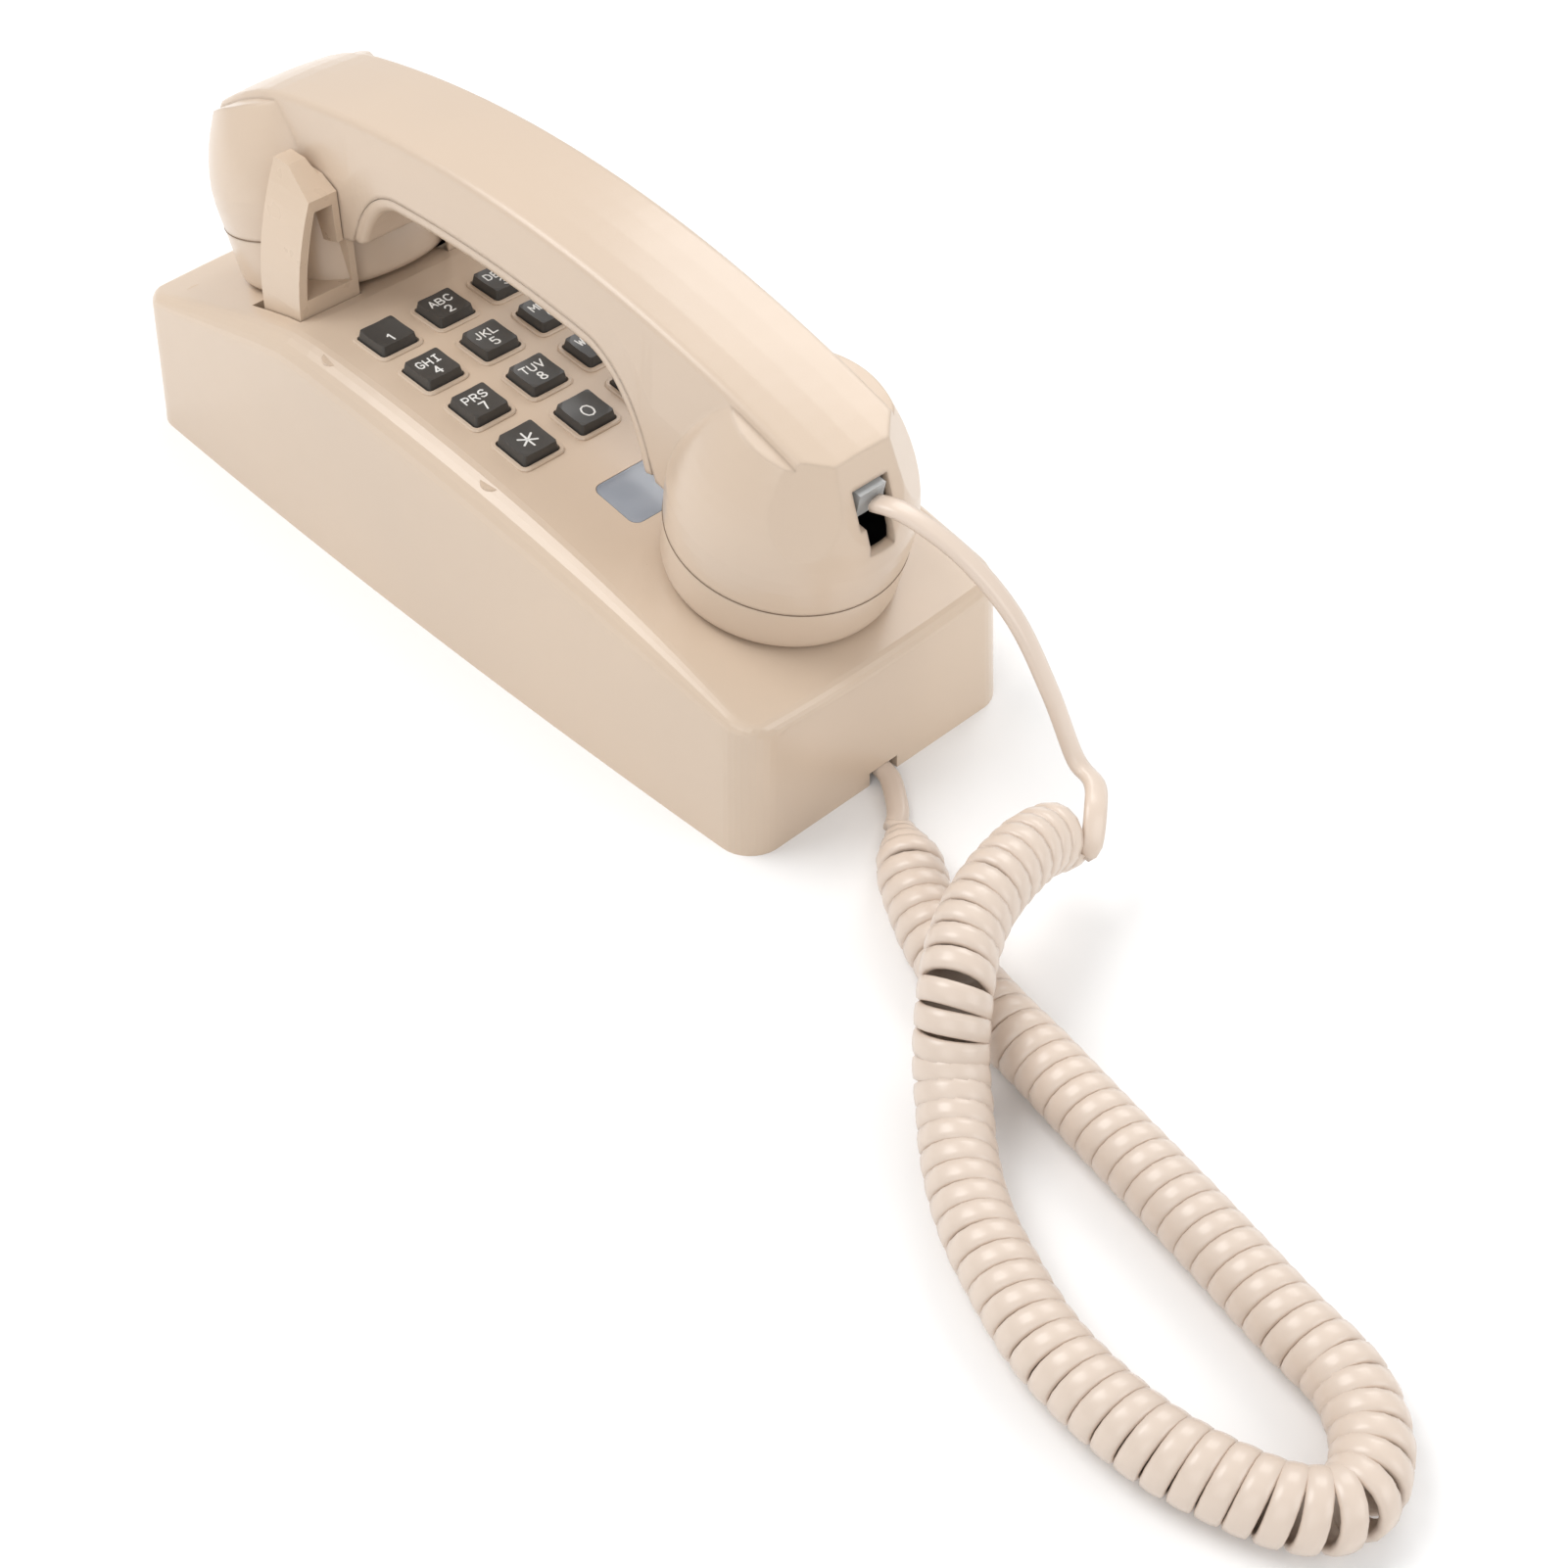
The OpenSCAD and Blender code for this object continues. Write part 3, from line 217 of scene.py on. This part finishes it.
def metal(name, color, rough=0.35, brushed=60.0):
    mat = bpy.data.materials.new(name)
    nt, nd, ln, bs = nodes_of(mat)
    co = nd.new("ShaderNodeTexCoord")
    mp = nd.new("ShaderNodeMapping")
    mp.inputs["Scale"].default_value = (30, 30 * brushed, 30)
    n1 = nd.new("ShaderNodeTexNoise")
    n1.inputs["Scale"].default_value = 6.0
    n1.inputs["Detail"].default_value = 5.0
    ln.new(co.outputs["Object"], mp.inputs["Vector"])
    ln.new(mp.outputs["Vector"], n1.inputs["Vector"])
    ramp = nd.new("ShaderNodeValToRGB")
    ramp.color_ramp.elements[0].color = (*[c * 0.82 for c in color], 1)
    ramp.color_ramp.elements[1].color = (*[min(1, c * 1.1) for c in color], 1)
    ln.new(n1.outputs["Fac"], ramp.inputs["Fac"])
    ln.new(ramp.outputs["Color"], bs.inputs["Base Color"])
    mr = nd.new("ShaderNodeMapRange")
    mr.inputs["To Min"].default_value, mr.inputs["To Max"].default_value = rough - 0.08, rough + 0.1
    ln.new(n1.outputs["Fac"], mr.inputs["Value"])
    ln.new(mr.outputs["Result"], bs.inputs["Roughness"])
    bump = nd.new("ShaderNodeBump")
    bump.inputs["Strength"].default_value = 0.2
    bump.inputs["Distance"].default_value = 0.01 * MM
    ln.new(n1.outputs["Fac"], bump.inputs["Height"])
    ln.new(bump.outputs["Normal"], bs.inputs["Normal"])
    bs.inputs["Metallic"].default_value = 1.0
    return mat


def clear(name, color, rough=0.08, alpha=0.45):
    mat = plastic(name, color, rough, 0.6, 0.03, 0.004, 900.0, 0.6)
    bs = mat.node_tree.nodes["Principled BSDF"]
    bs.inputs["Alpha"].default_value = alpha
    return mat


BEIGE = (0.620, 0.493, 0.380)
M = {
    "case_plastic": plastic("case_plastic", BEIGE, 0.30, 0.35),
    "handset_plastic": plastic("handset_plastic", (0.620, 0.493, 0.383), 0.30, 0.35, ease=1.6),
    "hook_plastic": plastic("hook_plastic", (0.625, 0.490, 0.370), 0.28, 0.35),
    "key_plastic": plastic("key_plastic", (0.055, 0.053, 0.051), 0.42, 0.15, 0.2, 0.02, 1800.0),
    "window_plastic": clear("window_plastic", (0.42, 0.47, 0.55), 0.1, 0.55),
    "card_paper": plastic("card_paper", (0.72, 0.73, 0.75), 0.8, 0.0, 0.04, 0.03, 1500.0, 0.3),
    "plate_steel": metal("plate_steel", (0.56, 0.56, 0.54), 0.38),
    "screw_steel": metal("screw_steel", (0.55, 0.55, 0.55), 0.3),
    "spring_steel": metal("spring_steel", (0.45, 0.45, 0.47), 0.3),
    "gong_metal": metal("gong_metal", (0.66, 0.52, 0.26), 0.28, 8.0),
    "capsule": metal("capsule", (0.55, 0.55, 0.55), 0.4, 1.0),
    "weight_steel": metal("weight_steel", (0.22, 0.22, 0.23), 0.6, 1.0),
    "board": plastic("board", (0.02, 0.12, 0.05), 0.4, 0.3, 0.25, 0.03, 700.0),
    "black_plastic": plastic("black_plastic", (0.02, 0.02, 0.022), 0.45, 0.1, 0.2),
    "frame_plastic": plastic("frame_plastic", (0.05, 0.05, 0.048), 0.5, 0.1, 0.2),
    "mat_rubber": plastic("mat_rubber", (0.16, 0.16, 0.155), 0.65, 0.0, 0.15, 0.04, 900.0),
    "coil_copper": plastic("coil_copper", (0.30, 0.09, 0.03), 0.35, 0.4, 0.3, 0.05, 500.0),
    "capacitor_film": plastic("capacitor_film", (0.45, 0.12, 0.03), 0.35, 0.4, 0.2),
    "jack_plastic": plastic("jack_plastic", (0.20, 0.20, 0.20), 0.4, 0.2, 0.06),
    "plug_plastic": clear("plug_plastic", (0.75, 0.76, 0.76), 0.1, 0.5),
    "wheel_plastic": plastic("wheel_plastic", (0.55, 0.44, 0.34), 0.45, 0.1),
    "cord_vinyl": plastic("cord_vinyl", (0.690, 0.575, 0.485), 0.34, 0.25, 0.05, 0.02, 1800.0, 0.5),
    # seam colour is painted shade: a darkened beige ring stands in for the shadow in the gap between cap
    # and handle
    "seam": plastic("seam", (0.20, 0.135, 0.09), 0.6, 0.0, 0.2),
    "legend": plastic("legend", (0.80, 0.80, 0.78), 0.5, 0.1, 0.03, 0.01, 1800.0, 0.4),
}

# ------------------------------------------------------------------ cords
UPPER = [[0, -112.2, 76.9], [2, -120, 77], [7, -132, 70], [11, -144, 58], [13, -154, 42],
         [14, -162, 27], [11, -168, 19], [4, -171, 18], [-1, -171, 20]]
COIL = [[-1, -171, 20], [-9, -172, 24], [-17, -174, 27], [-28, -177, 29], [-37, -180, 29],
        [-45, -184, 28], [-52, -189, 26], [-57, -193, 21], [-61, -197, 15], [-66, -203, 11],
        [-72, -210, 9], [-79, -220, 8.2], [-85, -232, 8.2], [-92, -253, 8.2], [-93, -277, 8.2],
        [-88, -297, 8.2], [-82, -307, 8.2], [-75, -310, 8.2], [-67, -307, 8.2], [-61, -301, 8.2],
        [-57, -293, 8.2], [-55, -279, 8.2], [-50, -252, 8.2], [-45, -222, 8.2], [-42, -205, 8.2],
        [-40, -191, 8.2], [-37, -177, 8.2], [-33, -166, 8.2], [-27, -155, 8.2], [-23, -149, 8.2]]
LOWER = [[-23, -149, 8.2], [-20, -145, 5], [-15, -139, 2.6], [-10, -133, 2.2], [-5, -127, 2.2],
         [-1, -121, 2.3], [0, -116, 2.4], [0, -113, 2.4]]
FLAT_W, FLAT_T, COIL_R, TURNS = 5.1, 2.4, 6.7, 79
# The last turns run on towards the housing and narrow to the flat tail
core = even(catmull(COIL + [[-20, -145, 7], [-16, -140, 5], [-12, -135.5, 3.4]], 8), 0.5)
_, side = frames(core, (0, -1, 0))
tang = np.gradient(core, axis=0)
tang /= np.linalg.norm(tang, axis=1)[:, None]
per = 16
total = TURNS * per
helix, outward = [], []
for i, s in enumerate(np.linspace(0, len(core) - 1, total + 1)):
    k = min(len(core) - 2, int(s))
    f = s - k
    c = core[k] * (1 - f) + core[k + 1] * f
    t = tang[k] * (1 - f) + tang[k + 1] * f
    n = side[k] * (1 - f) + side[k + 1] * f
    n -= t * (n @ t) / (t @ t)
    n /= np.linalg.norm(n)
    b = np.cross(n, t / np.linalg.norm(t))
    ang = 2 * math.pi * i / per
    d = n * math.cos(ang) + b * math.sin(ang)
    size = COIL_R if i < total / 2 else min(COIL_R, max(0.2, c[2] - 1.6))
    helix.append(c + d * size)
    outward.append(d)
helix, outward = np.array(helix), np.array(outward)
low = even(catmull([helix[-1], [-8.5, -131, 2.3]] + LOWER[4:], 6), 2.0)[1:]
up_z = np.array([0.0, 0.0, 1.0])
path = np.vstack([helix, low])
ups = np.vstack([outward, np.tile(up_z, (len(low), 1))])
for k in range(10):
    f = (k + 1) / 11
    ups[len(helix) - 7 + k] = outward[-8] * (1 - f) + up_z * f
coil = sweep("coiled_cord", path * MM, ups, FLAT_W * MM, FLAT_T * MM, 12, M["cord_vinyl"])
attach(coil, "base")
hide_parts("cord_coil", "cord_tail_lower")

turn_in = helix[0] - helix[2]
tail_path = even(catmull(UPPER[:6] + [[12.5, -169, 25.5], [6, -175, 26], list(helix[0] + turn_in * 0.5),
                                      list(helix[0])], 8), 1.5)
_, tail_up = frames(tail_path)
tail = sweep("straight_cord", tail_path * MM, tail_up, FLAT_W * MM, FLAT_T * MM, 14, M["cord_vinyl"])
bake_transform(tail)
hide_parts("cord_tail_upper")

# ------------------------------------------------------------------ carried-over nodes
slot_of = {s["node"]: s["material_slot"] for s in frame["record"]["subparts"]}
for name, ob in frame["nodes"].items():
    if ob.type != "MESH":
        continue
    me = ob.data
    me.materials.clear()
    me.materials.append(M[slot_of[name]])
    me.polygons.foreach_set("use_smooth", [True] * len(me.polygons))
    sharp_by_angle(me, 32)
    wn = ob.modifiers.new("even_shading", "WEIGHTED_NORMAL")
    wn.keep_sharp, wn.weight, wn.thresh = True, 90, 0.01

# ------------------------------------------------------------------ key legends
STROKES = {
    "A": [[(0, 0), (.5, 1), (1, 0)], [(.2, .36), (.8, .36)]],
    "B": [[(0, 0), (0, 1), (.6, 1), (.82, .9), (.82, .62), (.6, .53), (0, .53)],
          [(.6, .53), (.92, .42), (.92, .12), (.65, 0), (0, 0)]],
    "C": [[(.92, .8), (.7, 1), (.3, 1), (.05, .78), (.05, .22), (.3, 0), (.7, 0), (.92, .2)]],
    "D": [[(0, 0), (0, 1), (.55, 1), (.9, .75), (.9, .25), (.55, 0), (0, 0)]],
    "E": [[(.85, 1), (0, 1), (0, 0), (.85, 0)], [(0, .52), (.7, .52)]],
    "F": [[(.85, 1), (0, 1), (0, 0)], [(0, .52), (.7, .52)]],
    "G": [[(.92, .8), (.7, 1), (.3, 1), (.05, .78), (.05, .22), (.3, 0), (.7, 0), (.92, .2), (.92, .45),
           (.55, .45)]],
    "H": [[(0, 0), (0, 1)], [(.9, 0), (.9, 1)], [(0, .52), (.9, .52)]],
    "I": [[(.5, 0), (.5, 1)], [(.2, 1), (.8, 1)], [(.2, 0), (.8, 0)]],
    "J": [[(.75, 1), (.75, .22), (.55, 0), (.25, 0), (.05, .22)]],
    "K": [[(0, 0), (0, 1)], [(.85, 1), (0, .42)], [(.28, .6), (.9, 0)]],
    "L": [[(0, 1), (0, 0), (.8, 0)]],
    "M": [[(0, 0), (0, 1), (.5, .4), (1, 1), (1, 0)]],
    "N": [[(0, 0), (0, 1), (.9, 0), (.9, 1)]],
    "O": [[(.5, 1), (.2, .9), (.04, .62), (.04, .38), (.2, .1), (.5, 0), (.8, .1), (.96, .38), (.96, .62),
           (.8, .9), (.5, 1)]],
    "P": [[(0, 0), (0, 1), (.65, 1), (.88, .86), (.88, .6), (.65, .46), (0, .46)]],
    "R": [[(0, 0), (0, 1), (.65, 1), (.88, .86), (.88, .62), (.65, .48), (0, .48)], [(.5, .48), (.9, 0)]],
    "S": [[(.85, .84), (.65, 1), (.28, 1), (.06, .84), (.06, .64), (.28, .52), (.65, .48), (.88, .34),
           (.88, .16), (.65, 0), (.25, 0), (.03, .17)]],
    "T": [[(.5, 0), (.5, 1)], [(0, 1), (1, 1)]],
    "U": [[(0, 1), (0, .22), (.22, 0), (.68, 0), (.9, .22), (.9, 1)]],
    "V": [[(0, 1), (.5, 0), (1, 1)]],
    "W": [[(0, 1), (.25, 0), (.5, .75), (.75, 0), (1, 1)]],
    "X": [[(0, 0), (.95, 1)], [(0, 1), (.95, 0)]],
    "Y": [[(0, 1), (.5, .5), (1, 1)], [(.5, .5), (.5, 0)]],
    "1": [[(.2, .76), (.55, 1), (.55, 0)]],
    "2": [[(.05, .76), (.22, .96), (.5, 1), (.78, .92), (.86, .7), (.72, .48), (.05, 0), (.9, 0)]],
    "3": [[(.05, .84), (.3, 1), (.66, 1), (.86, .84), (.84, .64), (.6, .53), (.36, .53)],
          [(.6, .53), (.9, .4), (.9, .16), (.66, 0), (.28, 0), (.03, .16)]],
    "4": [[(.7, 0), (.7, 1), (.03, .3), (.95, .3)]],
    "5": [[(.82, 1), (.15, 1), (.08, .56), (.4, .62), (.7, .58), (.88, .38), (.84, .14), (.6, 0), (.25, 0),
           (.04, .14)]],
    "6": [[(.8, .9), (.55, 1), (.25, .88), (.06, .5), (.08, .2), (.3, 0), (.64, 0), (.88, .18), (.88, .4),
           (.64, .58), (.3, .56), (.08, .38)]],
    "7": [[(.03, 1), (.9, 1), (.38, 0)]],
    "8": [[(.48, .54), (.18, .66), (.14, .86), (.32, 1), (.64, 1), (.82, .86), (.78, .66), (.48, .54),
           (.12, .4), (.05, .16), (.3, 0), (.66, 0), (.91, .16), (.84, .4), (.48, .54)]],
    "9": [[(.14, .1), (.4, 0), (.7, .12), (.88, .5), (.86, .8), (.64, 1), (.3, 1), (.06, .82), (.06, .6),
           (.3, .42), (.64, .44), (.86, .62)]],
    "*": [[(.5, 0), (.5, 1)], [(.07, .25), (.93, .75)], [(.07, .75), (.93, .25)]],
    "#": [[(.3, 0), (.36, 1)], [(.64, 0), (.7, 1)], [(0, .33), (1, .33)], [(0, .67), (1, .67)]],
}
LEGENDS = {"key_1": ("", "1"), "key_2": ("ABC", "2"), "key_3": ("DEF", "3"), "key_4": ("GHI", "4"),
           "key_5": ("JKL", "5"), "key_6": ("MNO", "6"), "key_7": ("PRS", "7"), "key_8": ("TUV", "8"),
           "key_9": ("WXY", "9"), "key_star": ("", "*"), "key_0": ("", "O"), "key_hash": ("", "#")}
FACE_K, CREST_Y = (57 - 36) / (45 + 118) ** 2, 45.0
DISH_R, DISH = 34.0, 0.45
KEY_RISE = 2.8


def ribbon(line, width, verts, faces, place):
    """A flat stroke with round joins and ends, laid on the key's dished top."""
    h = width / 2

    def lay(loop):
        base = len(verts)
        verts.extend(place(u, v) for u, v in loop)
        faces.append(list(range(base, base + len(loop))))
    for (x0, y0), (x1, y1) in zip(line[:-1], line[1:]):
        d = math.hypot(x1 - x0, y1 - y0)
        if d < 1e-6:
            continue
        nx, ny = -(y1 - y0) / d * h, (x1 - x0) / d * h
        cuts = max(1, int(d / 0.8))
        for c in range(cuts):
            p0, p1 = c / cuts, (c + 1) / cuts
            ax, ay = x0 + (x1 - x0) * p0, y0 + (y1 - y0) * p0
            bx, by = x0 + (x1 - x0) * p1, y0 + (y1 - y0) * p1
            lay([(ax - nx, ay - ny), (bx - nx, by - ny), (bx + nx, by + ny), (ax + nx, ay + ny)])
    for x, y in line:
        lay([(x + h * math.cos(2 * math.pi * k / 10), y + h * math.sin(2 * math.pi * k / 10))
             for k in range(10)])


def legend(node, letters, digit):
    lo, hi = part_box(node)
    cx = (lo[0] + hi[0]) / 2 / MM
    rows = {"1": 0, "2": 0, "3": 0, "4": 1, "5": 1, "6": 1, "7": 2, "8": 2, "9": 2, "*": 3, "O": 3, "#": 3}
    cy = 31 - 17.5 * rows[digit]
    fz = 57 - FACE_K * (CREST_Y - cy) ** 2
    ang = math.atan(2 * FACE_K * (CREST_Y - cy))
    verts, faces = [], []

    def place(u, v):
        w = KEY_RISE - DISH + DISH_R - math.sqrt(DISH_R ** 2 - u * u - v * v) + 0.025
        return Vector((cx + u, cy + v * math.cos(ang) - w * math.sin(ang),
                       fz + v * math.sin(ang) + w * math.cos(ang))) * MM

    def put(text, x, y, w, h, gap, stroke):
        full = len(text) * w + (len(text) - 1) * gap
        for i, ch in enumerate(text):
            ox = x - full / 2 + i * (w + gap)
            for line in STROKES[ch]:
                ribbon([(ox + q[0] * w, y - h / 2 + q[1] * h) for q in line], stroke, verts, faces, place)
    if letters:
        put(letters, 0.0, 1.75, 1.75, 2.3, 0.62, 0.42)
        put(digit, 0.0, -2.05, 1.9, 2.8, 0, 0.46)
    elif digit == "1":
        put(digit, -0.4, -2.05, 1.9, 2.8, 0, 0.46)
    elif digit == "O":
        put(digit, 0, -0.9, 3.1, 3.8, 0, 0.46)
    else:
        put(digit, 0, 0, 4.6, 5.0, 0, 0.52)
    ob = add_mesh("legend_" + node[4:], verts, faces, M["legend"], smooth=True)
    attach(ob, node.replace("key", "button"))


for node, (letters, digit) in LEGENDS.items():
    legend(node, letters, digit)

# ------------------------------------------------------------------ seams of the caps, drawn as thin dark rings of painted shade
def face_spot(y):
    """Height and slope of the housing's face at y, in mm and radians."""
    def z(q):
        if q < CREST_Y:
            return 57 - FACE_K * (CREST_Y - q) ** 2
        return 57 - HOOK_M * (math.sqrt((q - CREST_Y) ** 2 + 144) - 12)
    return z(y), math.atan(z(y + 0.5) - z(y - 0.5))


HOOK_M = (57 - 38) / (math.sqrt((118 - CREST_Y) ** 2 + 144) - 12)
for name, y, seam in (("ear_seam", 78.5, 14.8), ("mouth_seam", -83.0, 12.8)):
    fz, ang = face_spot(y)
    turn = Matrix.Rotation(ang, 3, "X")
    verts, faces = [], []
    for i in range(96):
        q = 2 * math.pi * i / 96
        for j in range(6):
            w = 2 * math.pi * j / 6
            rad = 27.93 + 0.22 * math.cos(w)
            p = turn @ Vector((rad * math.cos(q), rad * math.sin(q), seam + 0.2 * math.sin(w)))
            verts.append((p + Vector((0, y, fz))) * MM)
            n2 = (i + 1) % 96
            faces.append([i * 6 + j, n2 * 6 + j, n2 * 6 + (j + 1) % 6, i * 6 + (j + 1) % 6])
    ring = add_mesh(name, verts, faces, M["seam"])
    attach(ring, "handset")

# ------------------------------------------------------------------ stage and light
floor = add_mesh("floor", [(-6, -6, 0), (6, -6, 0), (6, 6, 0), (-6, 6, 0)], [[0, 1, 2, 3]])
fm = bpy.data.materials.new("floor")
nt, nd, ln, bs = nodes_of(fm)
bs.inputs["Base Color"].default_value = (0.93, 0.93, 0.93, 1)
bs.inputs["Roughness"].default_value = 0.9
bs.inputs["Specular IOR Level"].default_value = 0.1
floor.data.materials.append(fm)
world = bpy.data.worlds.new("world")
scene.world = world
world.use_nodes = True
world.node_tree.nodes["Background"].inputs[0].default_value = (1, 1, 1, 1)
world.node_tree.nodes["Background"].inputs[1].default_value = 0.62


def area(name, loc, aim, size, power, tint=(1, 1, 1)):
    li = bpy.data.lights.new(name, "AREA")
    li.shape, li.size, li.energy, li.color = "DISK", size, power, tint
    ob = bpy.data.objects.new(name, li)
    scene.collection.objects.link(ob)
    d = Vector(aim) - Vector(loc)
    ob.rotation_euler = d.to_track_quat("-Z", "Y").to_euler()
    ob.location = loc


area("key_light", (-0.5, 0.7, 1.5), (0, 0, 0), 1.1, 15)
area("fill_light", (-1.3, -0.8, 1.0), (0, -0.05, 0.03), 1.3, 5)
area("front_light", (0.5, -1.5, 0.8), (0, -0.1, 0.03), 1.2, 7)
area("rim_light", (1.2, 0.4, 1.2), (0, 0, 0.03), 1.0, 8)
scene.view_settings.view_transform = "Standard"
scene.view_settings.look = "None"
